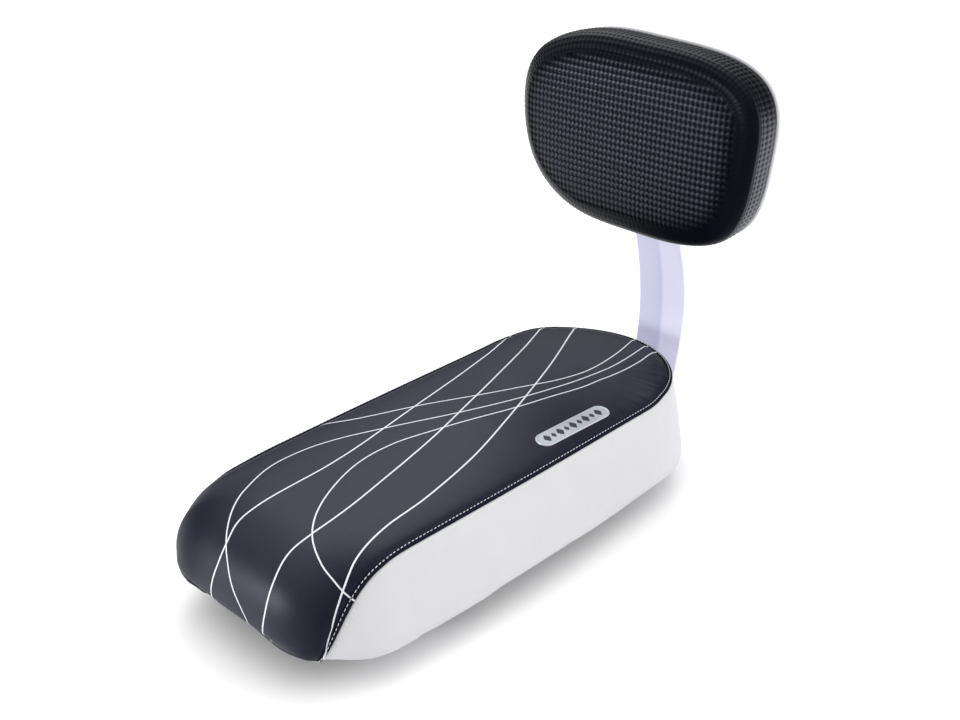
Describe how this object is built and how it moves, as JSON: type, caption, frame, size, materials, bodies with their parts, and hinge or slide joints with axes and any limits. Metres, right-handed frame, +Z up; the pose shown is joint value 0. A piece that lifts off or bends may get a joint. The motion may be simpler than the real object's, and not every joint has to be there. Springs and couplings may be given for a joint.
{
  "type": "bicycle rear seat cushion",
  "caption": "Padded rear rack seat with a leather-look cover, base board, rack clamp plates and a padded backrest on a curved flat bar.",
  "frame": {"origin": "centre of the assembly's box in plan, at the level of the clamp bolt heads on which it stands", "axes": "+Z up; the rolled front end of the seat points to -Y and the backrest stands at +Y; X runs across the seat, with the badge on the +X side"},
  "size_m": [0.1904, 0.3941, 0.2882],
  "materials": {
    "black_leather": "soft satin coated cloth with a fine grain, black with a blue cast",
    "white_leather": "satin white coated cloth",
    "embossed_leather": "black coated cloth with a pressed weave",
    "foam": "open cell foam",
    "plywood": "raw plywood",
    "liner": "black felted liner cloth",
    "staple_wire": "bright wire",
    "badge": "silver grey print film",
    "yellow_zinc": "yellow zinc plate",
    "zinc_plate": "zinc plated sheet steel",
    "zinc_steel": "zinc plated steel",
    "bar_paint": "semi-gloss pale lavender white paint",
    "shell_plastic": "white moulded plastic"
  },
  "bodies": {
    "root": {"seat_top_cover": "black_leather", "seat_side_band": "white_leather", "seat_foam": "foam", "seat_board": "plywood", "seat_liner": "liner", "seat_staples": "staple_wire", "seat_badge": "badge", "clamp_t_nuts": "yellow_zinc", "bar_t_nuts": "yellow_zinc", "clamp_plate_front": "zinc_plate", "clamp_plate_rear": "zinc_plate", "clamp_bolts": "zinc_steel", "clamp_washers": "zinc_steel", "clamp_spring_washers": "zinc_steel", "backrest_bar": "bar_paint", "bar_bolts": "zinc_steel", "bar_washers": "zinc_steel", "backrest_shell": "shell_plastic", "backrest_board": "plywood", "backrest_foam": "foam", "backrest_cover": "embossed_leather", "backrest_staples": "staple_wire", "backrest_t_nuts": "yellow_zinc", "backrest_bolts": "zinc_steel", "backrest_washers": "zinc_steel"}
  },
  "joints": []
}
